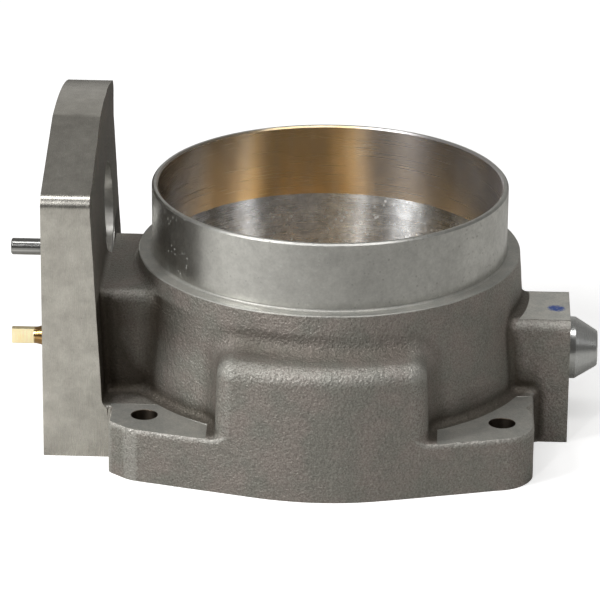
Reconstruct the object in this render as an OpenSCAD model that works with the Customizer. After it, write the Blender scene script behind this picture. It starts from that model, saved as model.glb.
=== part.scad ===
// Throttle body for an electronically driven engine throttle, without its motor and gears.
// One aluminium casting carries a shaft and disc on two sealed ball bearings, and a plate
// on its -X side takes the motor, the idler gear and the gear cover.
// Origin: centre of the bore on the mounting face. +Z runs up the bore to the inlet neck,
// and +X runs along the throttle shaft to the end cap.

/* [Bore and neck] */
// Throttle bore diameter
bore_d = 80; // [78:0.5:82]
// Outside diameter of the inlet neck, which takes a 3.5 inch hose
neck_od = 88.9; // [88.5:0.1:90]
// Wall thickness of the neck
neck_wall = 1.55; // [1.2:0.05:1.8]
// Height of the neck's rim above the mounting face
neck_top = 61.2; // [59:0.1:64]
// Height of the shoulder that the hose stops against
shoulder_z = 44; // [43.5:0.5:46]
// Height at which the inlet bore starts to close in
taper_top = 42.7; // [40:0.1:43]
// Height at which the taper has reached the throttle bore
taper_bottom = 28.5; // [28:0.5:34]
// Barrel diameter under the shoulder
barrel_d = 95.6; // [94:0.2:97]
// Barrel diameter where it meets the flange
barrel_base_d = 100; // [99:0.2:100.4]

/* [Flange] */
// Flange thickness
flange_t = 13.45; // [12:0.05:14]
// Bolt hole spacing along the shaft direction
hole_spacing_x = 87.5; // [86:0.5:89]
// Bolt hole spacing across the shaft direction
hole_spacing_y = 77; // [76:0.5:78]
// Bolt hole diameter, clearance for M6
hole_d = 6.4; // [6:0.1:7]
// Diameter of the flange's front and back arcs
arc_d = 117.6; // [116:0.2:120]
// Half the angle that each arc covers
arc_half_angle = 15.6; // [14:0.2:17]
// Distance from the bore axis to the flange's side on the end cap side
ear_x = 51.7; // [51.5:0.1:53]
// Corner radius of the ears on the end cap side
ear_round = 7; // [4:0.5:7.5]
// Distance from the bore axis to the ears' side by the gear plate
ear_plate_x = 52.4; // [52:0.1:53]
// Width of the straight cut across those ears' corners
ear_cut = 5.1; // [4:0.1:6]

/* [Humps] */
// Width of the block that stands on the flange at the front and at the back
hump_w = 52; // [48:0.5:54]
// Height of its top above the mounting face
hump_top = 34; // [30:0.5:36]
// Radius of its rounded edges
hump_round = 4; // [3:0.5:5]

/* [Gear plate] */
// Distance from the bore axis to the plate's machined outer face
plate_x = 69.1; // [68.5:0.1:70]
// Distance from the bore axis to the plate's inner face at the mounting face
plate_inner_x = 54; // [53.5:0.1:54.5]
// Draft angle of the inner face
plate_draft = 2.85; // [2:0.05:4]
// Height above which the inner face is upright
plate_draft_top = 63; // [55:1:70]
// Angle by which the inner face leans away from the bore towards the back
plate_lean = 0.45; // [0:0.05:1]
// Distance from the shaft line to the plate's front edge
plate_front = 34; // [33:0.5:35]
// Distance from the shaft line to the plate's back edge
plate_back = 42.4; // [42:0.1:43]
// Height at which the front edge would meet the slope
plate_corner_z = 67.3; // [66:0.1:69]
// Radius of that corner
plate_corner_r = 3.6; // [2:0.1:4]
// Distance from the slope's top end to the shaft line, in front
crest_front = 1; // [0:0.5:3]
// Height of the slope's top end
crest_z = 77.2; // [76:0.1:78]
// Radius of the crest's long arc
crest_r = 117; // [110:1:130]
// Distance from the shaft line to the crest arc's centre
crest_y = 8.6; // [6:0.1:10]
// Depth of the gear pocket in the outer face
pocket_d = 3.5; // [2:0.5:4]
// Width of the rim around the gear pocket
rim_w = 6; // [5:0.5:7]
// Cover screw spacing across the plate
cover_dy = 65; // [64:0.5:66]
// Cover screw spacing up the plate
cover_dz = 54; // [52:0.5:54]
// Tapped hole diameter for the M4 cover and motor screws
tap_d = 3.3; // [3.2:0.05:3.5]
// Depth of the cover screw holes
cover_tap_l = 10; // [8:0.5:11]

/* [Motor and idler] */
// Motor hole diameter
motor_d = 23.4; // [22:0.1:24.5]
// Distance of the motor axis behind the shaft line
motor_y = 15; // [14:0.1:16]
// Height of the motor axis
motor_z = 47.8; // [47:0.1:50]
// Diameter of the spot face round the motor hole on the plate's inner side
motor_face_d = 29; // [28:0.5:30]
// Motor screw spacing, one above and one below the motor
motor_screw_dz = 32; // [31:0.5:34]
// Depth of the motor screw holes
motor_tap_l = 7; // [5:0.5:7]
// Idler gear pin diameter
pin_d = 4.2; // [4:0.05:4.5]
// Distance of the idler gear pin in front of the shaft line
pin_front = 1; // [0:0.1:2]
// Height of the idler gear pin
pin_z = 42.6; // [41:0.1:44]
// Distance from the bore axis to the pin's free end
pin_end_x = 79.8; // [75:0.1:80]
// Length of the pin held in the casting
pin_grip = 7.5; // [6:0.5:8]

/* [Arm and end boss] */
// Height of the arm that joins the barrel and the plate
arm_top = 40; // [38:0.5:41]
// Distance from the shaft line to the arm's front face
arm_front = 24; // [22:0.5:26]
// Distance from the shaft line to the arm's back face
arm_back = 18; // [16:0.5:20]
// Distance from the bore axis to the end boss's outer face
boss_x = 60.4; // [60:0.1:61]
// Half width of the end boss
boss_half_w = 18.3; // [17:0.1:19]
// Height of the end boss
boss_top = 32.1; // [31:0.1:33]
// Distance behind the shaft line at which the boss starts to slope down
boss_flat_y = 3.5; // [2:0.5:6]
// Radius of the rounded front edges of the arm and the boss
edge_round = 3; // [2:0.5:4]

/* [Shaft and disc] */
// Height of the shaft's axis
shaft_z = 18.3; // [18:0.1:19]
// Shaft diameter between the bearings
shaft_d = 9; // [8.8:0.1:9.2]
// Distance from the bore axis to the end of the shaft's tang
tang_end_x = 80.2; // [78:0.1:81]
// Height of the tang's blade
tang_h = 3.9; // [3.6:0.1:4.4]
// Thickness of the tang's blade
tang_t = 1.8; // [1.6:0.1:3]
// Length of the tang's blade
tang_l = 5.6; // [5:0.1:6]
// Disc thickness
disc_t = 2; // [1.6:0.1:2.4]
// Gap between the closed disc and the bore
disc_gap = 0.07; // [0.05:0.01:0.1]
// Tilt of the closed disc
disc_tilt = 6; // [4:0.5:8]
// Distance between the two disc screws
disc_screw_dx = 38; // [34:1:42]

/* [Bearings and seals] */
// Bore diameter of the gear side bearing
gear_brg_id = 8; // [8:0.1:8.2]
// Outside diameter of the gear side bearing
gear_brg_od = 16; // [16:0.1:16.2]
// Ball diameter of the gear side bearing
gear_ball_d = 2.4; // [2.2:0.1:2.4]
// Bore diameter of the end bearing
end_brg_id = 7; // [7:0.1:7.2]
// Outside diameter of the end bearing
end_brg_od = 14; // [14:0.1:14.2]
// Ball diameter of the end bearing
end_ball_d = 2; // [1.8:0.1:2]
// Width of each bearing
brg_w = 5; // [5:0.1:5.2]
// Balls in each bearing
ball_count = 9; // [7:1:9]
// Outside diameter of the gear side shaft seal
gear_seal_od = 13; // [12.6:0.1:13.2]
// Outside diameter of the end shaft seal
end_seal_od = 12; // [11.8:0.1:12.2]
// Width of each shaft seal
seal_w = 4; // [3:0.5:4]

/* [End cap] */
// Diameter of the cap's rim
cap_d = 15.6; // [15:0.1:18]
// Diameter of the cap's flat nose
cap_nose_d = 9.2; // [8:0.1:11]
// Length of the cap's straight rim
cap_rim_l = 1.8; // [1.5:0.1:3]
// Distance from the bore axis to the nose
cap_end_x = 67.8; // [66:0.1:69]
// Length of the spigot that the cap is pressed in by
spigot_l = 4.2; // [4:0.1:4.4]

/* [Hidden] */
$fn = 96;
fit_gap = 0.02;

// Casting.
bore_r = bore_d / 2;
neck_r = neck_od / 2;
inlet_r = neck_r - neck_wall;
arc_r = arc_d / 2;
wall_round = 2;
land_w = 0.4;
rim_chamfer = 0.5;
deep_r = 25;
// Height of the flange's tangent line above the arc's centre line, at a given x.
tangent_x = arc_r * sin(arc_half_angle);
function tangent_y(x) = -arc_r * cos(arc_half_angle) + (x - tangent_x) * tan(arc_half_angle);
ear_cx = ear_x - ear_round;
ear_cy = tangent_y(ear_cx) + ear_round / cos(arc_half_angle);
cut_x = ear_plate_x - ear_cut;
cut_y = tangent_y(cut_x) + ear_cut * 0.93;
link_x = plate_inner_x + 4;

// Gear plate.
slope_angle = atan((crest_z - plate_corner_z) / (plate_front - crest_front));
crest_cz = crest_z - sqrt(pow(crest_r, 2) - pow(crest_y + crest_front, 2));
cover_y0 = -plate_front + 5.5;
cover_z0 = 6;
screw_boss_r = 5;
floor_x = plate_x - pocket_d;
motor_face_x = 56.3;
motor_face_end_x = 54.9;
plate_depth = 25;
plate_reach_below = 5;
plate_upper_x = plate_inner_x + plate_draft_top * tan(plate_draft);

// Stack of parts on the shaft, gear side, as distances from the bore axis.
snap_t = 1;
gear_snap_x = floor_x - 1;
gear_brg_x = gear_snap_x - snap_t;
gear_seal_x = gear_brg_x - brg_w;
gear_seal_in_x = gear_seal_x - seal_w;
clip_t = 0.8;
clip_r = 5.3;
clip_gap = 0.05;
clip_groove = 0.4;
clip_mouth = 2.4;
cone_l = 7.9;

// Stack of parts on the shaft, end side.
spigot_x = boss_x - spigot_l;
washer_room = 1.6;
end_brg_x = spigot_x - washer_room;
end_seal_x = end_brg_x - brg_w;
end_seal_in_x = end_seal_x - seal_w;
journal_end_x = end_brg_x + 0.6;
shaft_hole_r = shaft_d / 2 + 0.2;

// Bearings.
groove_gap = 0.03;
shield_t = 0.25;
cage_w = 3.2;
cage_t = 0.9;
gear_pitch_r = (gear_brg_id + gear_brg_od) / 4;
end_pitch_r = (end_brg_id + end_brg_od) / 4;
race_land = 0.35;

// Small parts.
case_t = 0.4;
screw_r = 2;
screw_head_r = 3.4;
screw_head_h = 1.4;
screw_half_l = 4.3;
screw_socket_d = 2.9;
screw_socket_l = 1.1;
lug_r = 1.15;
lug_hole_r = 0.5;
lug_angle = 21;
snap_reach = 0.5;
snap_band = 1.5;
snap_gap = 5.2;
o_ring_r = 0.68;
o_ring_groove_r = 5.6;
o_ring_groove_w = 1.6;
o_ring_inset = 1.2;
spigot_bore_r = 4.4;
pin_edge = 0.3;
relief_w = 0.6;
relief_d = 0.2;
wave_t = 0.3;
wave_h = 0.3;
wave_count = 3;
wave_steps = 48;

// Places a part made around +Z on the shaft's axis, with its +Z along +X.
module on_shaft(x) {
  translate([x, 0, shaft_z]) rotate([0, 90, 0]) children();
}

// Places a part made around +Z on the shaft's axis, pointing at the gear side.
module on_gear_side(x) {
  translate([-x, 0, shaft_z]) rotate([0, -90, 0]) children();
}

// Extrudes an outline drawn as (y, z) along +X.
module along_x(x, length) {
  translate([x, 0, 0]) rotate([90, 0, 90]) linear_extrude(length) children();
}

module tube(r_in, r_out, length) {
  rotate_extrude() translate([r_in, 0]) square([r_out - r_in, length]);
}

// ---- Casting ----

module barrel() {
  rotate_extrude() {
    polygon([
      [deep_r, 0], [barrel_base_d / 2, 0], [barrel_base_d / 2, flange_t],
      [barrel_d / 2, shoulder_z - land_w], [barrel_d / 2 - land_w, shoulder_z],
      [neck_r, shoulder_z], [neck_r, neck_top - rim_chamfer],
      [neck_r - rim_chamfer, neck_top], [deep_r, neck_top]
    ]);
    difference() {
      translate([barrel_base_d / 2 - 1, flange_t - 1]) square(wall_round + 1);
      translate([barrel_base_d / 2 + wall_round, flange_t + wall_round]) circle(wall_round);
    }
  }
}

module flange_half() {
  intersection() {
    circle(arc_r);
    translate([-cut_x, -arc_r]) square([2 * cut_x, arc_r]);
  }
  polygon([
    [ear_x, 0], [ear_x, ear_cy],
    [ear_cx + ear_round * sin(arc_half_angle), ear_cy - ear_round * cos(arc_half_angle)],
    [tangent_x, tangent_y(tangent_x)], [-tangent_x, tangent_y(tangent_x)],
    [-cut_x, tangent_y(cut_x)], [-ear_plate_x, cut_y], [-ear_plate_x, 0]
  ]);
  translate([ear_cx, ear_cy]) circle(ear_round);
}

module flange() {
  linear_extrude(flange_t) {
    flange_half();
    mirror([0, 1]) flange_half();
    translate([-link_x, -plate_front]) square([link_x, plate_front + plate_back]);
  }
}

module hump() {
  half = hump_w / 2;
  flat = half - hump_round;
  side_y = sqrt(pow(arc_r, 2) - pow(flat, 2)) - hump_round;
  intersection() {
    linear_extrude(hump_top) {
      intersection() {
        circle(arc_r);
        translate([-flat, -arc_r]) square([2 * flat, arc_r - deep_r]);
      }
      translate([-half, -side_y]) square([hump_w, side_y - deep_r]);
      for (side = [-1, 1]) translate([side * flat, -side_y]) circle(hump_round);
    }
    rotate_extrude() {
      square([arc_r, hump_top - hump_round]);
      square([arc_r - hump_round, hump_top]);
      translate([arc_r - hump_round, hump_top - hump_round]) circle(hump_round);
    }
  }
}

// Outline of the gear plate as (y, z), drawn in by inset all round.
module plate_outline(inset, corner) {
  front = -plate_front + inset;
  top = plate_corner_z + inset * tan(slope_angle) - inset / cos(slope_angle);
  cut = corner * tan(45 - slope_angle / 2);
  back = plate_back - inset;
  reach = back - front;
  intersection() {
    union() {
      polygon([
        [front, inset], [front, top - cut],
        [front + cut * cos(slope_angle), top + cut * sin(slope_angle)],
        [back, top + reach * tan(slope_angle)], [back, inset]
      ]);
      translate([front + corner, top - cut]) circle(corner);
    }
    translate([crest_y, crest_cz]) circle(crest_r - inset, $fn = 180);
  }
}

module gear_plate() {
  difference() {
    along_x(-plate_x, plate_depth) plate_outline(0, plate_corner_r);
    rotate([90, 0, plate_lean]) linear_extrude(4 * plate_back, center = true) polygon([
      [-plate_inner_x + plate_reach_below * tan(plate_draft), -plate_reach_below],
      [0, -plate_reach_below], [0, crest_z + plate_reach_below],
      [-plate_upper_x, crest_z + plate_reach_below], [-plate_upper_x, plate_draft_top]
    ]);
  }
}

module arm() {
  along_x(-link_x, link_x - deep_r) {
    translate([-arm_front, 0]) square([arm_front + arm_back, arm_top - edge_round]);
    translate([edge_round - arm_front, 0]) square([arm_front + arm_back - edge_round, arm_top]);
    translate([edge_round - arm_front, arm_top - edge_round]) circle(edge_round);
  }
}

module end_boss() {
  along_x(deep_r, boss_x - deep_r) {
    polygon([
      [-boss_half_w, 0], [-boss_half_w, boss_top - edge_round],
      [edge_round - boss_half_w, boss_top], [boss_flat_y, boss_top],
      [boss_half_w, boss_top - boss_half_w + boss_flat_y], [boss_half_w, 0]
    ]);
    translate([edge_round - boss_half_w, boss_top - edge_round]) circle(edge_round);
  }
}

module main_bore_cut() {
  rotate_extrude() polygon([
    [0, -1], [bore_r, -1], [bore_r, taper_bottom], [inlet_r, taper_top],
    [inlet_r, neck_top - rim_chamfer], [inlet_r + rim_chamfer + 0.1, neck_top + 0.1],
    [inlet_r, neck_top + 1], [0, neck_top + 1]
  ]);
}

module flange_holes_cut() {
  for (x = [-1, 1]) for (y = [-1, 1])
    translate([x * hole_spacing_x / 2, y * hole_spacing_y / 2, -1])
      cylinder(d = hole_d, h = flange_t + 2);
}

module gear_pocket_cut() {
  along_x(-plate_x - 1, pocket_d + 1) difference() {
    plate_outline(rim_w, plate_corner_r);
    cover_screw_places() circle(screw_boss_r);
  }
}

module cover_screw_places() {
  for (row = [0, 1]) for (column = [0, 1])
    translate([cover_y0 + column * cover_dy, cover_z0 + row * cover_dz]) children();
}

module plate_holes_cut() {
  along_x(-plate_x - 1, cover_tap_l + 1) cover_screw_places() circle(d = tap_d);
  along_x(-floor_x - 1, motor_tap_l + 1)
    for (side = [-1, 1])
      translate([motor_y, motor_z + side * motor_screw_dz / 2]) circle(d = tap_d);
  along_x(-plate_x, plate_x - motor_face_x) translate([motor_y, motor_z]) circle(d = motor_d);
  along_x(-motor_face_x, motor_face_x - motor_face_end_x)
    translate([motor_y, motor_z]) circle(d = motor_face_d);
  along_x(-floor_x - 1, pin_grip + 1) translate([-pin_front, pin_z]) circle(d = pin_d);
}

module shaft_line_cut() {
  on_gear_side(0) {
    cylinder(r = shaft_hole_r, h = gear_seal_in_x + 1);
    translate([0, 0, gear_seal_in_x]) cylinder(d = gear_seal_od, h = seal_w + 1);
    translate([0, 0, gear_seal_x]) cylinder(d = gear_brg_od, h = brg_w + 5);
    translate([0, 0, gear_brg_x]) cylinder(d = gear_brg_od + 1.2, h = snap_t);
  }
  on_shaft(0) {
    cylinder(r = shaft_hole_r, h = end_seal_in_x + 1);
    translate([0, 0, end_seal_in_x]) cylinder(d = end_seal_od, h = seal_w + 1);
    translate([0, 0, end_seal_x]) cylinder(d = end_brg_od, h = boss_x - end_seal_x + 1);
  }
}

module housing() {
  color([0.46, 0.43, 0.40]) difference() {
    union() {
      barrel();
      flange();
      hump();
      mirror([0, 1, 0]) hump();
      gear_plate();
      arm();
      end_boss();
    }
    main_bore_cut();
    flange_holes_cut();
    gear_pocket_cut();
    plate_holes_cut();
    shaft_line_cut();
  }
}

// ---- Shaft, disc and what holds them ----

// Places a part square to the closed disc, at the shaft's axis.
module on_disc(x) {
  translate([x, 0, shaft_z]) rotate([disc_tilt, 0, 0]) children();
}

module disc_screw_places() {
  for (side = [-1, 1]) on_disc(side * disc_screw_dx / 2) children();
}

module screw_form(gap) {
  rotate_extrude() polygon([
    [0, -screw_half_l - gap], [screw_r + gap, -screw_half_l - gap],
    [screw_r + gap, screw_half_l - screw_head_h - gap],
    [screw_head_r + gap, screw_half_l - gap], [screw_head_r + gap, screw_half_l + gap],
    [0, screw_half_l + gap]
  ]);
}

module throttle_shaft() {
  blade_x = tang_end_x - tang_l;
  cone_x = blade_x - cone_l;
  groove_end_x = gear_brg_x + clip_t + 2 * clip_gap;
  journal_r = gear_brg_id / 2 - fit_gap;
  end_journal_r = end_brg_id / 2 - fit_gap;
  color([0.80, 0.62, 0.30]) difference() {
    union() {
      on_gear_side(0) rotate_extrude() polygon([
        [0, 0], [shaft_d / 2, 0], [shaft_d / 2, gear_seal_x], [journal_r, gear_seal_x],
        [journal_r, gear_brg_x], [journal_r - clip_groove, gear_brg_x],
        [journal_r - clip_groove, groove_end_x], [journal_r, groove_end_x],
        [journal_r, cone_x], [tang_h / 2, blade_x], [0, blade_x]
      ]);
      on_shaft(0) rotate_extrude() polygon([
        [0, 0], [shaft_d / 2, 0], [shaft_d / 2, end_seal_x], [end_journal_r, end_seal_x],
        [end_journal_r, journal_end_x - 0.4], [end_journal_r - 0.4, journal_end_x],
        [0, journal_end_x]
      ]);
      translate([-tang_end_x, -tang_t / 2, shaft_z - tang_h / 2])
        cube([tang_l + 1, tang_t, tang_h]);
    }
    on_disc(0) cube([bore_d + 0.6, shaft_d + 4, disc_t + 2 * fit_gap], center = true);
    disc_screw_places() screw_form(fit_gap);
    disc_screw_places() translate([0, 0, screw_half_l]) cylinder(r = screw_head_r + fit_gap, h = 3);
  }
}

module throttle_disc() {
  color([0.72, 0.70, 0.66]) difference() {
    intersection() {
      on_disc(0) cube([bore_d + 10, bore_d + 10, disc_t], center = true);
      cylinder(r = bore_r - disc_gap, h = shaft_z * 2, $fn = 180);
    }
    disc_screw_places() cylinder(r = screw_r + fit_gap, h = 6, center = true);
  }
}

module disc_screws() {
  color([0.35, 0.35, 0.37]) disc_screw_places() difference() {
    screw_form(0);
    translate([0, 0, screw_half_l - screw_socket_l]) cylinder(d = screw_socket_d, h = 2, $fn = 6);
  }
}

module shaft_retaining_ring() {
  color([0.30, 0.30, 0.32]) on_gear_side(gear_brg_x + clip_gap)
    linear_extrude(clip_t - clip_gap) difference() {
      circle(clip_r);
      circle(gear_brg_id / 2 - clip_groove);
      translate([0, -clip_mouth / 2]) square([clip_r + 1, clip_mouth]);
    }
}

// ---- Bearings, made from z = 0 to z = brg_w ----

module outer_race(od, pitch_r, ball_r) {
  rotate_extrude() difference() {
    translate([pitch_r + ball_r - race_land, 0]) square([od / 2 - pitch_r - ball_r + race_land, brg_w]);
    translate([pitch_r, brg_w / 2]) circle(ball_r + groove_gap);
  }
}

module inner_race(id, pitch_r, ball_r) {
  rotate_extrude() difference() {
    translate([id / 2, 0]) square([pitch_r - ball_r + race_land - id / 2, brg_w]);
    translate([pitch_r, brg_w / 2]) circle(ball_r + groove_gap);
  }
}

module ball_places(pitch_r) {
  for (i = [0 : ball_count - 1]) rotate(i * 360 / ball_count)
    translate([pitch_r, 0, brg_w / 2]) children();
}

module cage(pitch_r, ball_r) {
  difference() {
    translate([0, 0, (brg_w - cage_w) / 2]) tube(pitch_r - cage_t / 2, pitch_r + cage_t / 2, cage_w);
    ball_places(pitch_r) rotate([0, 90, 0])
      cylinder(r = ball_r + 0.08, h = 3 * cage_t, center = true, $fn = 48);
  }
}

module shields(pitch_r, ball_r) {
  reach = ball_r - race_land;
  for (z = [0.1, brg_w - shield_t - 0.1]) translate([0, 0, z])
    tube(pitch_r - reach + 0.12, pitch_r + reach, shield_t);
}

module gear_bearing_outer_race() {
  color([0.70, 0.71, 0.73]) on_gear_side(gear_seal_x)
    outer_race(gear_brg_od, gear_pitch_r, gear_ball_d / 2);
}

module gear_bearing_inner_race() {
  color([0.72, 0.73, 0.75]) on_gear_side(gear_seal_x)
    inner_race(gear_brg_id, gear_pitch_r, gear_ball_d / 2);
}

module gear_bearing_balls() {
  color([0.80, 0.81, 0.83]) on_gear_side(gear_seal_x)
    ball_places(gear_pitch_r) sphere(d = gear_ball_d);
}

module gear_bearing_cage() {
  color([0.62, 0.58, 0.50]) on_gear_side(gear_seal_x) cage(gear_pitch_r, gear_ball_d / 2);
}

module gear_bearing_shields() {
  color([0.55, 0.56, 0.58]) on_gear_side(gear_seal_x) shields(gear_pitch_r, gear_ball_d / 2);
}

module gear_bearing_snap_ring() {
  color([0.30, 0.30, 0.32]) on_gear_side(gear_brg_x + clip_gap) linear_extrude(snap_t - 2 * clip_gap) {
    difference() {
      circle(gear_brg_od / 2 + snap_reach);
      circle(gear_brg_od / 2 + snap_reach - snap_band);
      translate([0, -snap_gap / 2]) square([gear_brg_od, snap_gap]);
    }
    for (side = [-1, 1]) rotate(side * lug_angle)
      translate([gear_brg_od / 2 - lug_r, 0]) difference() {
        circle(lug_r, $fn = 32);
        circle(lug_hole_r, $fn = 24);
      }
  }
}

module end_bearing_outer_race() {
  color([0.70, 0.71, 0.73]) on_shaft(end_seal_x)
    outer_race(end_brg_od, end_pitch_r, end_ball_d / 2);
}

module end_bearing_inner_race() {
  color([0.72, 0.73, 0.75]) on_shaft(end_seal_x)
    inner_race(end_brg_id, end_pitch_r, end_ball_d / 2);
}

module end_bearing_balls() {
  color([0.80, 0.81, 0.83]) on_shaft(end_seal_x)
    ball_places(end_pitch_r) sphere(d = end_ball_d);
}

module end_bearing_cage() {
  color([0.62, 0.58, 0.50]) on_shaft(end_seal_x) cage(end_pitch_r, end_ball_d / 2);
}

module end_bearing_shields() {
  color([0.55, 0.56, 0.58]) on_shaft(end_seal_x) shields(end_pitch_r, end_ball_d / 2);
}

// ---- Seals, made from z = 0 at the bore side to z = seal_w at the bearing side ----

module seal_case(od) {
  tube(od / 2 - case_t, od / 2, seal_w);
  tube(shaft_d / 2 + 0.6, od / 2 - case_t, case_t);
}

module seal_lip(od) {
  r = shaft_d / 2 + fit_gap;
  rotate_extrude() polygon([
    [od / 2 - case_t, case_t], [od / 2 - case_t, seal_w - 0.2],
    [od / 2 - case_t - 0.5, seal_w - 0.2], [r + 0.75, case_t + 0.8],
    [r + 0.35, seal_w - 1.2], [r, seal_w - 1.6], [r + 0.3, case_t]
  ]);
}

module gear_seal_case() {
  color([0.55, 0.56, 0.58]) on_gear_side(gear_seal_in_x) seal_case(gear_seal_od);
}

module gear_seal_lip() {
  color([0.08, 0.08, 0.08]) on_gear_side(gear_seal_in_x) seal_lip(gear_seal_od);
}

module end_seal_case() {
  color([0.55, 0.56, 0.58]) on_shaft(end_seal_in_x) seal_case(end_seal_od);
}

module end_seal_lip() {
  color([0.08, 0.08, 0.08]) on_shaft(end_seal_in_x) seal_lip(end_seal_od);
}

// ---- End cap and its neighbours ----

// Washer with a few gentle waves, swept as a closed ring of four-sided sections.
module wave_ring(r_in, r_out) {
  angles = [for (i = [0 : wave_steps - 1]) i * 360 / wave_steps];
  points = [
    for (a = angles) for (corner = [[r_in, 0], [r_out, 0], [r_out, wave_t], [r_in, wave_t]])
      [corner[0] * cos(a), corner[0] * sin(a), corner[1] + wave_h * sin(wave_count * a)]
  ];
  faces = [
    for (i = [0 : wave_steps - 1]) let (j = (i + 1) % wave_steps) for (k = [0 : 3])
      let (m = (k + 1) % 4) each [
        [4 * i + k, 4 * i + m, 4 * j + m],
        [4 * i + k, 4 * j + m, 4 * j + k]
      ]
  ];
  polyhedron(points = points, faces = faces);
}

module preload_wave_washer() {
  color([0.60, 0.61, 0.64]) on_shaft(end_brg_x + wave_h + 0.35)
    wave_ring(end_brg_od / 2 - 1.2, end_brg_od / 2 - 0.2);
}

module end_cap() {
  r = end_brg_od / 2;
  edge = 0.35;
  groove_x = spigot_x + o_ring_inset;
  color([0.78, 0.79, 0.80]) on_shaft(0) rotate_extrude() polygon([
    [spigot_bore_r, spigot_x], [r - edge, spigot_x], [r, spigot_x + edge],
    [r, groove_x], [o_ring_groove_r, groove_x],
    [o_ring_groove_r, groove_x + o_ring_groove_w], [r, groove_x + o_ring_groove_w],
    [r, boss_x], [cap_d / 2 - edge, boss_x], [cap_d / 2, boss_x + edge],
    [cap_d / 2, boss_x + cap_rim_l], [cap_nose_d / 2, cap_end_x - edge],
    [cap_nose_d / 2 - edge, cap_end_x], [0, cap_end_x], [0, boss_x], [spigot_bore_r, boss_x]
  ]);
}

module end_cap_o_ring() {
  color([0.08, 0.08, 0.08]) on_shaft(spigot_x + o_ring_inset + o_ring_groove_w / 2) rotate_extrude()
    translate([end_brg_od / 2 - o_ring_r - fit_gap, 0]) circle(o_ring_r, $fn = 48);
}

module idler_gear_pin() {
  r = pin_d / 2;
  free_l = pin_end_x - floor_x;
  length = free_l + pin_grip - 0.2;
  color([0.55, 0.57, 0.60]) translate([-pin_end_x, -pin_front, pin_z]) rotate([0, 90, 0])
    rotate_extrude() polygon([
      [0, 0], [r - pin_edge, 0], [r, pin_edge], [r, free_l - relief_w],
      [r - relief_d, free_l - relief_w], [r - relief_d, free_l], [r, free_l],
      [r, length - pin_edge], [r - pin_edge, length], [0, length]
    ]);
}

housing();
throttle_shaft();
throttle_disc();
disc_screws();
gear_bearing_outer_race();
gear_bearing_inner_race();
gear_bearing_balls();
gear_bearing_cage();
gear_bearing_shields();
gear_bearing_snap_ring();
gear_seal_case();
gear_seal_lip();
end_bearing_outer_race();
end_bearing_inner_race();
end_bearing_balls();
end_bearing_cage();
end_bearing_shields();
end_seal_case();
end_seal_lip();
preload_wave_washer();
end_cap();
end_cap_o_ring();
shaft_retaining_ring();
idler_gear_pin();
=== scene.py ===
"""Looks of the throttle body: a cast housing with machined faces, and a finish for every CAD node.

The housing is made in two steps, as the real one is. The casting is a distance field of
rounded and drafted forms, meshed and set on its true surface. Then the machined faces, bores
and holes are cut into it, and each cut keeps the finish of the tool that made it.
Lengths in this script are millimetres until a mesh is made, and metres from there on.
"""

import math

import bmesh
import bpy
import numpy as np
from mathutils import Matrix, Vector


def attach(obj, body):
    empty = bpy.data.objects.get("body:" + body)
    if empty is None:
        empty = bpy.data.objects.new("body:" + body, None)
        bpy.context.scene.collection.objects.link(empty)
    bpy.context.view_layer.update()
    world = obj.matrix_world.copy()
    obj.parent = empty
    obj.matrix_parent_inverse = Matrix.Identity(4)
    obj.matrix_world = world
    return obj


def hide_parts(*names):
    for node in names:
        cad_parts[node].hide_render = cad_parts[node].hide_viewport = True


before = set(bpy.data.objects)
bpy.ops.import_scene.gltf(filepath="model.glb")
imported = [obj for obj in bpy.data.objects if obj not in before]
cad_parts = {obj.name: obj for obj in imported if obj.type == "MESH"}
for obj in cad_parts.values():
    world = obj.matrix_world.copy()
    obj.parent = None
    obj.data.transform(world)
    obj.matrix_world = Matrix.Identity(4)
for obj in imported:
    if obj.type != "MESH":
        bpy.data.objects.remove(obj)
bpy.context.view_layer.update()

MM = 0.001

# Driving sizes, as in the CAD model.
BORE_R = 40.0
INLET_R = 42.9
NECK_R = 44.45
NECK_TOP = 61.2
SHOULDER_Z = 44.0
TAPER_TOP = 42.7
TAPER_BOTTOM = 28.5
BARREL_TOP_R = 47.8
BARREL_BASE_R = 50.0

# The flange: an arc between two tangent lines in front and behind, and four ears with holes.
FLANGE_T = 13.45
HOLE_X = 43.75
HOLE_Y = 38.5
HOLE_R = 3.2
ARC_R = 58.8
ARC_HALF = math.radians(15.6)
EAR_X = 51.7
EAR_PLATE_X = 52.4
EAR_CUT = 5.1
EAR_ROUND = 7.0

# The hump on the front and the back.
HUMP_BASE = 26.6
HUMP_TOP_HALF = 25.2
HUMP_TOP = 34.0
HUMP_ROUND = 4.0

# The gear plate, with its sloped front, its crest and the pocket in its outer face.
PLATE_X = 69.1
PLATE_INNER_X = 54.0
PLATE_DRAFT = math.radians(2.85)
PLATE_DRAFT_TOP = 63.0
PLATE_LEAN = math.radians(0.45)
PLATE_FRONT = 34.0
PLATE_BACK = 42.4
PLATE_CORNER_Z = 67.3
PLATE_CORNER_R = 3.6
CREST_FRONT = 1.0
CREST_Z = 77.2
CREST_R = 117.0
CREST_Y = 8.6
POCKET_D = 3.5
FLOOR_X = PLATE_X - POCKET_D
RIM_W = 6.0
COVER_DY = 65.0
COVER_DZ = 54.0
TAP_R = 1.65
MOTOR_Y = 15.0
MOTOR_Z = 47.8
MOTOR_R = 11.7
MOTOR_SCREW_DZ = 32.0
MOTOR_FACE_R = 14.5
MOTOR_FACE_X = 56.3
MOTOR_FACE_END = 54.9
PIN_Y = -1.0
PIN_Z = 42.6
PIN_R = 2.1
PIN_END = 58.1

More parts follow.
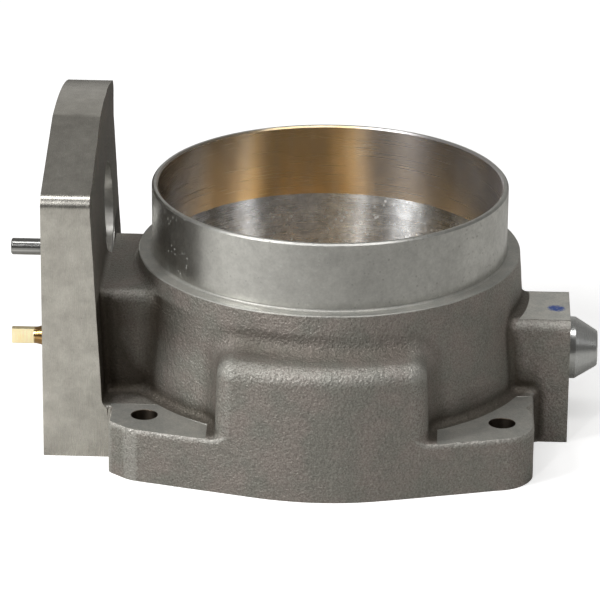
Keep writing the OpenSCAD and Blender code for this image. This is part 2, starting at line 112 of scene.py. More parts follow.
# The arm between barrel and gear plate, the boss at the other end, and the shaft line through both.
ARM_TOP = 40.0
ARM_FRONT = 24.0
ARM_BACK = 18.0
BOSS_X = 60.4
BOSS_HALF = 18.3
BOSS_TOP = 32.1
BOSS_FLAT_Y = 3.5
SHAFT_Z = 18.3
SHAFT_HOLE_R = 4.7
GEAR_SEAL_R = 6.5
GEAR_SEAL_X = 54.6
GEAR_BEARING_R = 8.0
GEAR_BEARING_X = 58.6
SNAP_GROOVE_R = 8.6
SNAP_GROOVE_X = 63.6
SNAP_GROOVE_END = 64.6
END_SEAL_R = 6.0
END_SEAL_X = 45.6
END_BEARING_R = 7.0
END_BEARING_X = 49.6

# Roundings and fillets of the raw casting, and the metal that it has for the machining to take off.
SMALL_ROUND = 0.8
HUMP_FILLET = 4.0
BOSS_FILLET = 1.3
FOOT_FILLET = 2.5
ARM_FILLET = 1.8
PLATE_FILLET = 1.6
NECK_STOCK = 1.0
SHOULDER_STOCK = 0.6
FLANGE_STOCK = 0.15
BOSS_STOCK = 0.2
END_STOCK = 1.0
PLATE_STOCK = 1.5
BORE_STOCK = 1.5

# Where the arm and the boss start inside the barrel, and where the fillets end at the front.
ROOT_X = 25.0
FRONT_HALF = 49.0

# Where cutting tools start, well outside the part, and a hair's breadth between two cuts.
OUTER_X = 90.0
OUTER_Y = 75.0
TOOL_START_X = 75.0
HAIR = 0.05

# Marks: the painted shade at the foot of the arm, the dab of paint, and how far out the shaft's cone is
# painted with a dark reflection.
ARM_FOOT_SHADE_AT = (-52.0, -24.0, 18.0)
ARM_FOOT_SHADE_SIZE = 8.0
DAB_AT = (57.0, -8.5, BOSS_TOP)
CONE_REFLECTION_X = 74.2


# ---- Node materials ----

class Shader:
    """A Principled material whose nodes are added by short calls."""

    def __init__(self, name):
        self.material = bpy.data.materials.new(name)
        self.material.use_nodes = True
        self.tree = self.material.node_tree
        self.surface = self.tree.nodes["Principled BSDF"]

    def add(self, kind, inputs=None, **settings):
        """A new node with its settings, and its inputs set or linked."""
        made = self.tree.nodes.new(kind)
        for name, value in settings.items():
            setattr(made, name, value)
        for name, value in (inputs or {}).items():
            self.set(made, name, value)
        return made

    def set(self, made, name, value):
        """Links a socket to an input, or writes a value in it."""
        if isinstance(value, bpy.types.NodeSocket):
            self.tree.links.new(value, made.inputs[name])
        else:
            made.inputs[name].default_value = value

    def principled(self, **inputs):
        """Sets inputs of the Principled shader by their names."""
        for name, value in inputs.items():
            self.set(self.surface, name.replace("_", " ").title(), value)

    def coords(self, stretch=(1, 1, 1)):
        """The object's own coordinates, in metres."""
        place = self.add("ShaderNodeTexCoord").outputs["Object"]
        return self.add("ShaderNodeMapping", {"Vector": place, "Scale": stretch}).outputs[0]

    def noise(self, size_mm, detail=2.0, roughness=0.5, stretch=(1, 1, 1)):
        """Noise from 0 to 1 with features of about the given size."""
        return self.add(
            "ShaderNodeTexNoise",
            {"Vector": self.coords(stretch), "Scale": 1 / (size_mm * MM), "Detail": detail,
             "Roughness": roughness},
        ).outputs["Fac"]

    def cells(self, size_mm):
        """Distance from scattered points, from 0 to about 1."""
        inputs = {"Vector": self.coords(), "Scale": 1 / (size_mm * MM)}
        return self.add("ShaderNodeTexVoronoi", inputs).outputs["Distance"]

    def remap(self, value, low, high, out_low=0.0, out_high=1.0):
        """A value from one range mapped to another, and held at its ends."""
        return self.add(
            "ShaderNodeMapRange",
            {"Value": value, "From Min": low, "From Max": high, "To Min": out_low, "To Max": out_high},
        ).outputs["Result"]

    def maths(self, operation, a, b):
        """One sum, difference or product."""
        made = self.add("ShaderNodeMath", operation=operation)
        self.set(made, 0, a)
        self.set(made, 1, b)
        return made.outputs[0]

    def blend(self, factor, a, b):
        """Mixes two colours."""
        made = self.add("ShaderNodeMix", data_type="RGBA")
        self.set(made, 0, factor)
        for index, colour in ((6, a), (7, b)):
            self.set(made, index, colour if isinstance(colour, bpy.types.NodeSocket) else (*colour, 1))
        return made.outputs[2]

    def scaled(self, colour, factor):
        """A colour made lighter or darker by a varying factor."""
        inputs = {0: colour, "Scale": factor}
        return self.add("ShaderNodeVectorMath", inputs, operation="SCALE").outputs[0]

    def attribute(self, name):
        """A value that the mesh stores at each point."""
        return self.add("ShaderNodeAttribute", attribute_name=name).outputs["Fac"]

    def across(self, direction):
        """Metres from the origin along a direction."""
        return self.measure("DOT_PRODUCT", direction)

    def distance_from(self, place):
        """Metres from a place."""
        return self.measure("DISTANCE", place)

    def measure(self, operation, vector):
        inputs = {0: self.coords(), 1: vector}
        return self.add("ShaderNodeVectorMath", inputs, operation=operation).outputs["Value"]

    def bump(self, height, depth_mm, normal=None):
        """Relief from a height of 0 to 1, on the given normal where there is one."""
        inputs = {"Height": height, "Distance": depth_mm * MM}
        if normal is not None:
            inputs["Normal"] = normal
        return self.add("ShaderNodeBump", inputs).outputs[0]

    def soft_edges(self, radius_mm):
        """The surface's normal with its sharp edges eased over a small radius."""
        return self.add("ShaderNodeBevel", {"Radius": radius_mm * MM}, samples=4).outputs[0]


def cast_finish():
    """Sand-cast aluminium: blotchy, granular, bright on its edges, with painted shade in its creases and
    where it is sheltered.
    """
    s = Shader("cast_aluminium")
    grain = s.noise(0.42, 3, 0.6)
    pits = s.cells(0.8)
    lumps = s.noise(2.2, 2)
    patches = s.noise(7, 2, 0.5)
    green_grey, warm_grey = (0.330, 0.320, 0.285), (0.380, 0.340, 0.308)
    bare_metal, crease_shade_tone, sheltered_shade_tone = (0.56, 0.55, 0.51), (0.09, 0.075, 0.055), (0.06, 0.048, 0.034)
    tone = s.blend(s.remap(patches, 0.36, 0.64), green_grey, warm_grey)
    tone = s.scaled(tone, s.remap(grain, 0.3, 0.7, 0.74, 1.26))
    uneven = s.maths("MULTIPLY", s.maths("SUBTRACT", grain, 0.5), 2.4)
    rubbed = s.remap(s.maths("ADD", s.attribute("convexity"), uneven), 0.25, 1.1, 0.0, 0.7)
    tone = s.blend(rubbed, tone, bare_metal)
    # Painted shade: darker in the casting's creases, and darker still where it is sheltered.
    tone = s.blend(s.remap(s.attribute("crease_shade"), 0.04, 0.32, 0.0, 0.74), tone, crease_shade_tone)
    tone = s.blend(s.remap(s.attribute("sheltered_shade"), 0.24, 0.7, 0.0, 0.88), tone, sheltered_shade_tone)
    height = s.maths("ADD", grain, s.maths("MULTIPLY", pits, 0.6))
    height = s.maths("ADD", height, s.maths("MULTIPLY", lumps, 0.8))
    s.principled(
        base_color=tone, metallic=0.7,
        roughness=s.remap(grain, 0.3, 0.7, 0.6, 0.42),
        normal=s.bump(height, 0.22),
    )
    return s.material


def faced_finish(name, lightness, roughness):
    """A fly-cut face, matt grey with faint arcs of the cutter, and a dab of blue paint on the boss."""
    s = Shader(name)
    arcs = s.add(
        "ShaderNodeTexWave",
        {"Vector": s.coords(), "Scale": 300, "Distortion": 6, "Detail": 3},
        wave_type="RINGS",
    )
    grain = s.noise(0.4, 3, 0.6)
    patches = s.noise(4, 4, 0.6)
    dark_grey, light_grey, blue = (0.44, 0.44, 0.41), (0.52, 0.51, 0.47), (0.06, 0.14, 0.52)
    tone = s.blend(s.remap(patches, 0.38, 0.62), dark_grey, light_grey)
    tone = s.scaled(tone, s.remap(grain, 0.3, 0.7, 0.88 * lightness, 1.12 * lightness))
    dab = s.remap(s.distance_from(Vector(DAB_AT) * MM), 1.4 * MM, 3.6 * MM, 1.0, 0.0)
    dab = s.remap(s.maths("MULTIPLY", dab, s.noise(1.1, 3, 0.8)), 0.26, 0.50)
    tone = s.blend(dab, tone, blue)
    height = s.maths("ADD", s.maths("MULTIPLY", arcs.outputs["Fac"], 0.5), grain)
    s.principled(
        base_color=tone, metallic=0.6,
        roughness=s.remap(grain, 0.3, 0.7, roughness + 0.05, roughness - 0.05),
        normal=s.bump(height, 0.008, s.soft_edges(0.25)),
    )
    return s.material


def inlet_finish():
    """The bored inlet wall: bright metal with a painted golden reflection of the brass disc, which fades
    out to the right.
    """
    s = Shader("bored_inlet")
    rings = s.noise(0.3, 2, 0.5, (0.02, 0.02, 1))
    streaks = s.noise(3.5, 3, 0.6, (1, 1, 0.12))
    smears = s.noise(9, 5, 0.6)
    side = s.across((1, 0, 0))
    bright_metal, reflected_gold = (0.86, 0.85, 0.88), (0.88, 0.69, 0.42)
    # Painted reflection: the gold of the brass disc below, strongest near the middle.
    disc_reflection = s.remap(side, 4 * MM, 11 * MM, 1.0, 0.09)
    disc_reflection = s.maths("MULTIPLY", disc_reflection, s.remap(side, -38 * MM, -18 * MM, 0.45, 1.0))
    disc_reflection = s.maths("MULTIPLY", disc_reflection, s.remap(streaks, 0.3, 0.7, 0.7, 1.15))
    tone = s.blend(disc_reflection, bright_metal, reflected_gold)
    # Painted shade to the left, and painted light to the right.
    tone = s.scaled(tone, s.remap(side, -36 * MM, -4 * MM, 0.6, 1.0))
    tone = s.scaled(tone, s.remap(side, 0.0, 30 * MM, 1.0, 1.12))
    tone = s.scaled(tone, s.remap(smears, 0.35, 0.7, 1.0, 0.84))
    tangent = s.add("ShaderNodeTangent", direction_type="RADIAL", axis="Z").outputs[0]
    s.principled(
        base_color=tone, metallic=1.0,
        anisotropic=0.8, anisotropic_rotation=0.25, tangent=tangent,
        roughness=s.remap(rings, 0.3, 0.7, 0.265, 0.275),
        normal=s.bump(rings, 0.00003),
    )
    return s.material


def turned_finish(name, colour, pitch_mm, axis, roughness=0.26, depth_mm=0.0015, smudge=0.3,
                  spread=0.6, mottle=0.0, dings=0.0, left_shade=0.0):
    """Lathe-turned metal: fine rings square to the axis, with smudges, mottling, small dings and painted
    shade on the left.
    """
    s = Shader(name)
    stretch = [0.02, 0.02, 0.02]
    stretch["XYZ".index(axis)] = 1
    rings = s.noise(pitch_mm, 2, 0.6, tuple(stretch))
    smears = s.noise(11, 5, 0.6)
    fine = s.noise(0.7, 3, 0.6)
    mottling = s.noise(2.4, 4, 0.65)
    smudged = tuple(0.72 * c for c in colour)
    tone = s.blend(s.remap(smears, 0.4, 0.66, 0.0, smudge), colour, smudged)
    tone = s.scaled(tone, s.remap(fine, 0.25, 0.75, 0.9, 1.08))
    tone = s.scaled(tone, s.remap(mottling, 0.35, 0.65, 1 - mottle, 1 + 0.4 * mottle))
    # Painted shade: the colour darkens towards the left.
    tone = s.scaled(tone, s.remap(s.across((1, 0, 0)), -30 * MM, -12 * MM, 1 - left_shade, 1.0))
    specks = s.remap(s.cells(1.3), 0.14, 0.28, 1.0, 0.0)
    specks = s.maths("MULTIPLY", specks, s.remap(s.noise(5, 3), 0.48, 0.56))
    specks = s.maths("MULTIPLY", specks, dings)
    tangent = s.add("ShaderNodeTangent", direction_type="RADIAL", axis=axis).outputs[0]
    rough = s.remap(rings, 0.3, 0.7, roughness - 0.03, roughness + 0.03)
    rough = s.maths("ADD", rough, s.remap(smears, 0.35, 0.7, 0.0, 0.07))
    rough = s.maths("ADD", rough, s.maths("MULTIPLY", specks, 0.5))
    s.principled(
        base_color=tone, metallic=1.0, roughness=rough,
        anisotropic=spread, anisotropic_rotation=0.25, tangent=tangent,
        normal=s.bump(rings, depth_mm, s.soft_edges(0.15)),
    )
    return s.material


def milled_finish():
    """Milled flats: faint tool marks along the profile, satin grain and cloudy stains."""
    s = Shader("milled_aluminium")
    marks = s.noise(0.45, 3, 0.6, (1, 0.03, 0.03))
    grain = s.noise(0.5, 4, 0.65)
    clouds = s.noise(6, 5, 0.6)
    patches = s.noise(2.2, 4, 0.65)
    dull_silver, silver = (0.64, 0.615, 0.56), (0.76, 0.735, 0.67)
    tone = s.blend(s.remap(clouds, 0.35, 0.65), dull_silver, silver)
    tone = s.scaled(tone, s.remap(grain, 0.3, 0.7, 0.93, 1.06))
    tone = s.scaled(tone, s.remap(patches, 0.35, 0.65, 1.04, 0.9))
    pits = s.remap(s.cells(2.6), 0.03, 0.09, 1.0, 0.0)
    tone = s.scaled(tone, s.remap(pits, 0, 1, 1.0, 0.75))
    s.principled(
        base_color=tone, metallic=1.0,
        roughness=s.remap(marks, 0.3, 0.7, 0.255, 0.285),
        normal=s.bump(s.maths("ADD", marks, grain), 0.00012, s.soft_edges(0.25)),
    )
    return s.material


def plain_metal(name, colour, roughness, grain_mm=0.6):
    """Smooth metal with a faint uneven sheen."""
    s = Shader(name)
    grain = s.noise(grain_mm, 3, 0.6)
    duller = tuple(0.88 * c for c in colour)
    tone = s.blend(s.remap(grain, 0.3, 0.7), duller, colour)
    s.principled(
        base_color=tone, metallic=1.0,
        roughness=s.remap(grain, 0.3, 0.7, roughness * 0.85, roughness * 1.2),
        normal=s.bump(grain, 0.002, s.soft_edges(0.12)),
    )
    return s.material


def brass_finish():
    """Polished brass, painted dark brown on the cone behind the blade for the dark surroundings that it
    reflects.
    """
    s = Shader("shaft_brass")
    clouds = s.noise(2.5, 3, 0.6)
    scratches = s.noise(0.2, 2, 0.6, (1, 0.05, 0.05))
    yellow, pale_yellow, reflected_brown = (1.0, 0.84, 0.48), (1.0, 0.90, 0.60), (0.50, 0.30, 0.12)
    # Painted reflection: the cone is dark brown, as it mirrors dark surroundings.
    cone_reflection = s.remap(s.across((-1, 0, 0)), CONE_REFLECTION_X * MM, (CONE_REFLECTION_X + 0.5) * MM, 1.0, 0.0)
    tone = s.blend(s.remap(clouds, 0.3, 0.7), yellow, pale_yellow)
    tone = s.blend(cone_reflection, tone, reflected_brown)
    s.principled(
        base_color=tone, metallic=1.0,
        roughness=s.remap(scratches, 0.3, 0.7, 0.14, 0.24),
        normal=s.bump(scratches, 0.0005, s.soft_edges(0.1)),
    )
    return s.material


def rubber_finish():
    """Black rubber with a faint bloom."""
    s = Shader("seal_rubber")
    grain = s.noise(0.3, 3)
    black, bloom = (0.012, 0.012, 0.013), (0.03, 0.03, 0.032)
    s.principled(
        base_color=s.blend(grain, black, bloom),
        roughness=s.remap(grain, 0.3, 0.7, 0.55, 0.75),
        normal=s.bump(grain, 0.01),
    )
    return s.material


CAST = cast_finish()
MILLED = milled_finish()
INLET = inlet_finish()
FACED = faced_finish("faced_aluminium", 0.95, 0.45)
# The boss's top: less rough than the other faced flats, and lighter in colour as painted light.
LIT_BOSS_FACED = faced_finish("faced_boss_painted_light", 1.45, 0.36)
TURNED = turned_finish("turned_neck", (0.67, 0.665, 0.63), 0.3, "Z", roughness=0.34, spread=0.45,
                       mottle=0.1, dings=1.0)
TAPERED = turned_finish("bored_taper", (0.87, 0.885, 0.90), 0.25, "Z", roughness=0.25,
                        depth_mm=0.0004, smudge=0.5, spread=0.85, mottle=0.25, dings=0.6, left_shade=0.6)
BORED = turned_finish("bored_wall", (0.74, 0.72, 0.68), 0.25, "Z", roughness=0.2, smudge=0.15,
                      spread=0.75)
BORED_X = turned_finish("bored_seat", (0.60, 0.59, 0.56), 0.3, "X", roughness=0.3)
# Painted shade: the flange holes are near black inside, as a recess in shade.
SHADED_HOLE = turned_finish("drilled_hole_painted_shade", (0.14, 0.115, 0.09), 0.4, "Z", roughness=0.4)


# ---- Casting as a distance field, in millimetres ----

def meet(a, b, radius):
    """Where both forms are, with the convex edge between them rounded."""
    u = np.maximum(a + radius, 0)
    v = np.maximum(b + radius, 0)
    return np.minimum(-radius, np.maximum(a, b)) + np.sqrt(u * u + v * v)


def fuse(a, b, radius):
    """Where either form is, with a fillet in the corner between them."""
    u = np.maximum(radius - a, 0)
    v = np.maximum(radius - b, 0)
    return np.maximum(radius, np.minimum(a, b)) - np.sqrt(u * u + v * v)


def front_line(x, y):
    """Distance past the flange's front or back outline: an arc between two tangent lines."""
    ax, ay = np.abs(x), np.abs(y)
    line = ax * math.sin(ARC_HALF) + ay * math.cos(ARC_HALF) - ARC_R
    on_arc = ax * math.cos(ARC_HALF) < ay * math.sin(ARC_HALF)
    return np.where(on_arc, np.hypot(ax, ay) - ARC_R, line)


def flange_blank(x, y, z, top):
    """The flange with its ears, and the metal that links it to the gear plate."""
    corner_x, corner_y, corner_drop = 0.66, 0.75, 0.93
    tangent_y = ARC_R / math.cos(ARC_HALF) - (EAR_PLATE_X - EAR_CUT) * math.tan(ARC_HALF)
    cut_y = tangent_y - EAR_CUT * corner_drop
    corner = (-x - EAR_PLATE_X) * corner_x + (np.abs(y) - cut_y) * corner_y
    outline = meet(front_line(x, y), x - EAR_X, EAR_ROUND)
    outline = meet(meet(outline, corner, SMALL_ROUND), -EAR_PLATE_X - x, SMALL_ROUND)
    link_x = np.maximum(-PLATE_X - x, x + BARREL_TOP_R)
    link_y = np.maximum(-PLATE_FRONT - y, y - PLATE_BACK)
    return meet(np.minimum(outline, np.maximum(link_x, link_y)), z - top, SMALL_ROUND)


def hump_blank(x, y, z):
    """The drafted humps on the front and the back."""
    half = HUMP_BASE + (HUMP_TOP_HALF - HUMP_BASE) * z / HUMP_TOP
    return meet(meet(np.abs(x) - half, front_line(x, y), HUMP_ROUND), z - HUMP_TOP, HUMP_ROUND)


def barrel_blank(radius, z):
    """The drafted barrel, and the neck on it."""
    slope = (BARREL_BASE_R - BARREL_TOP_R) / (SHOULDER_Z - FLANGE_T)
    side = radius - BARREL_BASE_R + slope * (z - FLANGE_T)
    barrel = np.maximum(side, z - SHOULDER_Z - SHOULDER_STOCK)
    neck = np.maximum(radius - NECK_R - NECK_STOCK, z - NECK_TOP - NECK_STOCK)
    return fuse(barrel, neck, SMALL_ROUND)


def boss_blank(x, y, z):
    """The boss for the end bearing, with a slope at the back of its top."""
    top_round, back_round = 2.6, 2
    slant = (y - BOSS_FLAT_Y + z - BOSS_TOP) * math.sqrt(0.5)
    section = meet(-BOSS_HALF - y, z - BOSS_TOP - BOSS_STOCK, top_round)
    section = meet(meet(section, slant, SMALL_ROUND), y - BOSS_HALF, back_round)
    return np.maximum(section, np.maximum(x - BOSS_X - END_STOCK, ROOT_X - x))


def arm_blank(x, y, z):
    """The arm between the barrel and the gear plate."""
    top_round = 2.8
    section = meet(meet(-ARM_FRONT - y, z - ARM_TOP, top_round), y - ARM_BACK, SMALL_ROUND)
    return np.maximum(section, np.maximum(-PLATE_X - x, x + ROOT_X))


def plate_blank(x, y, z):
    """The gear plate: drafted inside, and with stock on every side that is milled."""
    drafted = np.minimum(z, PLATE_DRAFT_TOP) * math.tan(PLATE_DRAFT)
    inner = (x + PLATE_INNER_X + drafted + y * math.tan(PLATE_LEAN)) * math.cos(PLATE_DRAFT)
    sides = np.maximum(-PLATE_FRONT - PLATE_STOCK - y, y - PLATE_BACK - PLATE_STOCK)
    edges = np.maximum(sides, z - CREST_Z - PLATE_STOCK)
    return np.maximum(np.maximum(inner, -PLATE_X - PLATE_STOCK - x), edges)


def skin_waves(x, y, z):
    """The slight unevenness of a sand-cast skin, which keeps just inside the true size."""
    inset, steepness = 0.08, 0.0016
    draw = np.random.default_rng(7)
    total = 0
    for length in (17, 13, 11, 9, 7.5, 6, 5, 4.2):
        way = draw.normal(size=3)
        way *= 2 * math.pi / (length * np.linalg.norm(way))
        total = total + length * np.sin(way[0] * x + way[1] * y + way[2] * z + draw.uniform(0, 6.28))
    return inset + total * steepness


def casting(x, y, z, waves=True):
    """Distance to the surface of the raw casting, before machining."""
    radius = np.hypot(x, y)
    body = fuse(barrel_blank(radius, z), hump_blank(x, y, z), HUMP_FILLET)
    body = fuse(body, boss_blank(x, y, z), BOSS_FILLET)
    flange = flange_blank(x, y, z, FLANGE_T + FLANGE_STOCK)
    body = fuse(body, fuse(arm_blank(x, y, z), flange, FOOT_FILLET), ARM_FILLET)
    body = fuse(body, plate_blank(x, y, z), PLATE_FILLET)
    body = np.maximum(body, np.minimum(front_line(x, y), FRONT_HALF - np.abs(x)))
    body = np.maximum(body, BORE_R - BORE_STOCK - radius)
    body = np.maximum(body, -BORE_STOCK - z)
    return body + skin_waves(x, y, z) if waves else body


def surface_net(field, low, step):
    """Quads over the zero surface of a sampled field: points in millimetres, and faces."""
    inside = field < 0
    cells = np.array(field.shape) - 1
    owners, places, quads = [], [], []
    for axis in range(3):
        u, v = (axis + 1) % 3, (axis + 2) % 3
        size = field.shape[axis]
        first = np.take(inside, range(size - 1), axis)
        crossing = np.argwhere(first != np.take(inside, range(1, size), axis))
        after = crossing.copy()
        after[:, axis] += 1
        a, b = field[tuple(crossing.T)], field[tuple(after.T)]
        point = crossing.astype(float)
        point[:, axis] += a / (a - b)
        corners = []
        for du, dv in ((-1, -1), (0, -1), (0, 0), (-1, 0)):
            cell = crossing.copy()
            cell[:, u] += du
            cell[:, v] += dv
            corners.append((cell[:, 0] * cells[1] + cell[:, 1]) * cells[2] + cell[:, 2])
        ring = np.stack(corners, 1)
        owners.append(ring.ravel())
        places.append(np.repeat(point, 4, 0))
        outward = inside[tuple(crossing.T)]
        quads.append(np.where(outward[:, None], ring, ring[:, ::-1]))
    ids, index = np.unique(np.concatenate(owners), return_inverse=True)
    places = np.concatenate(places)
    count = np.bincount(index)
    points = np.stack([np.bincount(index, places[:, k]) / count for k in range(3)], 1)
    return points * step + low, np.searchsorted(ids, np.concatenate(quads))


def settle(points, field):
    """Moves points onto the field's zero surface along its gradient."""
    rounds, reach, least_slope, longest_step = 3, 0.05, 0.2, 0.5
    for _ in range(rounds):
        value = field(*points.T)
        slope = np.stack([
            (field(*(points + reach * way).T) - field(*(points - reach * way).T)) / (2 * reach)
            for way in np.eye(3)
        ], 1)
        size = np.maximum((slope * slope).sum(1), least_slope)
        points = points - np.clip(value / size, -longest_step, longest_step)[:, None] * slope
    return points


def mesh_object(name, points_mm, faces, material):
    """An object with one material, from points in millimetres."""
    mesh = bpy.data.meshes.new(name)
    mesh.from_pydata([tuple(p) for p in np.asarray(points_mm) * MM], [], [list(f) for f in faces])
    mesh.update()
    mesh.materials.append(material)
    made = bpy.data.objects.new(name, mesh)
    bpy.context.scene.collection.objects.link(made)
    return made


def raw_casting():
    """The mesh of the casting, from a grid that holds all of it with a little room."""
    step = 0.7
    low = np.array([-PLATE_X - 4, -ARC_R - 3, -4.0])
    high = np.array([BOSS_X + 4, ARC_R + 3, CREST_Z + 5])
    axes = [np.arange(low[k], high[k], step) for k in range(3)]
    field = casting(*np.meshgrid(*axes, indexing="ij", sparse=True))
    points, faces = surface_net(field, low, step)
    return mesh_object("housing_casting", settle(points, casting), faces, CAST)


# ---- Cutting tools ----

def arc(centre, radius, start, stop, count):
    """Points on an arc, in degrees from +first axis towards +second axis."""
    turns = np.radians(np.linspace(start, stop, count))
    return [(centre[0] + radius * math.cos(t), centre[1] + radius * math.sin(t)) for t in turns]


def along(axis, first, second, height):
    """A point from its height along X or Z, and its two coordinates across that axis."""
    return (height, first, second) if axis == "X" else (first, second, height)


def lathe(name, profile, material, axis="Z", centre=(0, 0), segments=64):
    """A closed profile of (radius, height) points, turned round an axis."""
    points, faces, rings = [], [], []
    for radius, height in profile:
        if radius == 0:
            rings.append([len(points)] * segments)
            points.append(along(axis, *centre, height))
            continue
        rings.append([len(points) + k for k in range(segments)])
        for k in range(segments):
            turn = 2 * math.pi * k / segments
            first = centre[0] + radius * math.cos(turn)
            second = centre[1] + radius * math.sin(turn)
            points.append(along(axis, first, second, height))
    for lower, upper in zip(rings, rings[1:] + rings[:1]):
        if lower[0] == lower[1] and upper[0] == upper[1]:
            continue
        for k in range(segments):
            after = (k + 1) % segments
            face = [lower[k], lower[after], upper[after], upper[k]]
            faces.append(list(dict.fromkeys(face)))
    return closed(mesh_object(name, points, faces, material))


def prism(name, outline, axis, low, high, material):
    """An outline of two coordinates, extruded along an axis."""
    count = len(outline)
    points = [along(axis, a, b, end) for end in (low, high) for a, b in outline]
    faces = [list(range(count))[::-1], list(range(count, 2 * count))]
    faces += [[k, (k + 1) % count, (k + 1) % count + count, k + count] for k in range(count)]
    return closed(mesh_object(name, points, faces, material))


def block(name, low, high, material):
    """A box from its lowest and highest corners."""
    corners = [(low[0], low[1]), (high[0], low[1]), (high[0], high[1]), (low[0], high[1])]
    return prism(name, corners, "Z", low[2], high[2], material)


def closed(made):
    """Turns the faces of a closed mesh outwards."""
    mesh = bmesh.new()
    mesh.from_mesh(made.data)
    bmesh.ops.recalc_face_normals(mesh, faces=mesh.faces)
    mesh.to_mesh(made.data)
    mesh.free()
    return made


def apply_modifiers(made):
    """Makes an object's modifiers part of its mesh."""
    graph = bpy.context.evaluated_depsgraph_get()
    result = bpy.data.meshes.new_from_object(made.evaluated_get(graph), depsgraph=graph)
    made.modifiers.clear()
    made.data = result


def cut(target, *tools):
    """Cuts tools out of a solid. Each cut face keeps its tool's material, and the tools are removed."""
    for tool in tools:
        change = target.modifiers.new("cut", "BOOLEAN")
        change.operation = "DIFFERENCE"
        change.solver = "EXACT"
        change.object = tool
        change.material_mode = "TRANSFER"
        apply_modifiers(target)
        bpy.data.objects.remove(tool)


def plate_outline(inset=0.0, corner=PLATE_CORNER_R):
    """The gear plate's outline as (y, z), drawn in by inset all round."""
    tilt = math.atan((CREST_Z - PLATE_CORNER_Z) / (PLATE_FRONT - CREST_FRONT))
    crest_cz = CREST_Z - math.sqrt(CREST_R ** 2 - (CREST_Y + CREST_FRONT) ** 2)
    radius = CREST_R - inset
    front = -PLATE_FRONT + inset
    back = PLATE_BACK - inset
    top = PLATE_CORNER_Z + inset * math.tan(tilt) - inset / math.cos(tilt)
    cut_back = corner * math.tan(math.pi / 4 - tilt / 2)
    points = [(front, inset)]
    points += arc((front + corner, top - cut_back), corner, 180, 90 + math.degrees(tilt), 14)

    def above_crest(y):
        """The height of the slope's line over the crest's centre."""
        return top + (y - front) * math.tan(tilt) - crest_cz

    y, search_step = -CREST_FRONT, 0.05
    while math.hypot(y - CREST_Y, above_crest(y)) > radius:
        y -= search_step
    back_round, back_mid_y, back_mid_z = 1.5, 0.45, 0.35
    start = math.degrees(math.atan2(above_crest(y), y - CREST_Y))
    stop = math.degrees(math.acos((back - back_round - CREST_Y) / radius))
    points += arc((CREST_Y, crest_cz), radius, start, stop, 24)
    end_z = crest_cz + math.sqrt(radius ** 2 - (back - CREST_Y) ** 2)
    points += [(back - back_mid_y, end_z - back_mid_z), (back, end_z - back_round), (back, inset)]
    return points


def shape_plate(casting_object):
    """Mills the gear plate's edges and outer face, the flange's underside and the boss's end."""
    below, above = -20, 100
    waste_end, keep_end = -EAR_PLATE_X - HAIR, -30
    waste = block("waste", (-OUTER_X, -OUTER_Y, below), (waste_end, OUTER_Y, above), MILLED)
    cut(waste, prism("keep", plate_outline(), "X", -PLATE_X, keep_end, MILLED))
    under = block("under", (-OUTER_X, -OUTER_Y, below), (OUTER_X, OUTER_Y, 0), MILLED)
    boss_end = block("boss_end", (BOSS_X, -40, -30), (OUTER_X, 40, 60), MILLED)
    cut(casting_object, waste, under, boss_end)


def bore_and_turn(casting_object):
    """Turns the neck and the shoulder, and bores the throat, the taper and the inlet."""
    neck_edge, shoulder_edge, bore_edge, inlet_edge, fillet = 0.45, 0.3, 0.6, 0.4, 0.7
    outside, above, below, overlap, sliver = BARREL_TOP_R + 4.5, NECK_TOP + 8, -6, 2, 0.01
    neck = [
        (INLET_R - 0.5, above), (INLET_R - 0.5, NECK_TOP),
        (NECK_R - neck_edge, NECK_TOP), (NECK_R, NECK_TOP - neck_edge),
        (NECK_R, SHOULDER_Z + fillet), (outside, SHOULDER_Z + fillet), (outside, above),
    ]
    shoulder = arc((NECK_R + fillet, SHOULDER_Z + fillet), fillet, 180, 270, 6) + [
        (BARREL_TOP_R - shoulder_edge, SHOULDER_Z), (BARREL_TOP_R, SHOULDER_Z - shoulder_edge),
        (outside, SHOULDER_Z - shoulder_edge), (outside, SHOULDER_Z + overlap),
        (NECK_R + shoulder_edge, SHOULDER_Z + overlap),
    ]
    throat = [
        (0, below), (BORE_R + bore_edge, below), (BORE_R + bore_edge, 0),
        (BORE_R, bore_edge), (BORE_R, TAPER_BOTTOM), (0, TAPER_BOTTOM),
    ]
    taper = [
        (0, TAPER_BOTTOM - overlap), (BORE_R, TAPER_BOTTOM - overlap), (BORE_R, TAPER_BOTTOM),
        (INLET_R, TAPER_TOP), (0, TAPER_TOP),
    ]
    inlet = [
        (0, TAPER_TOP - sliver), (INLET_R, TAPER_TOP - sliver), (INLET_R, NECK_TOP - inlet_edge),
        (INLET_R + inlet_edge, NECK_TOP), (INLET_R + inlet_edge, above + 1), (0, above + 1),
    ]
    for name, profile, finish in (
        ("neck", neck, TURNED), ("shoulder", shoulder, FACED), ("throat", throat, BORED),
        ("taper", taper, TAPERED), ("inlet", inlet, INLET),
    ):
        cut(casting_object, lathe(name, profile, finish, segments=360))


def flange_hole(x, y):
    """A hole through the flange, eased below and just broken above."""
    lower_ease, upper_ease, below, above = 0.3, 0.12, -2, FLANGE_T + 3
    profile = [
        (0, below), (HOLE_R + lower_ease, below), (HOLE_R + lower_ease, 0), (HOLE_R, lower_ease),
        (HOLE_R, FLANGE_T - upper_ease), (HOLE_R + upper_ease, FLANGE_T),
        (HOLE_R + upper_ease, above), (0, above),
    ]
    return lathe("hole", profile, SHADED_HOLE, centre=(x, y))


def eased_mouth(radius, ease, face_x, start_x=TOOL_START_X):
    """The first points of a hole's profile along X, from outside the part past its chamfer."""
    mouth = radius + ease
    return [(0, -start_x), (mouth, -start_x), (mouth, -face_x), (radius, -face_x + ease)]


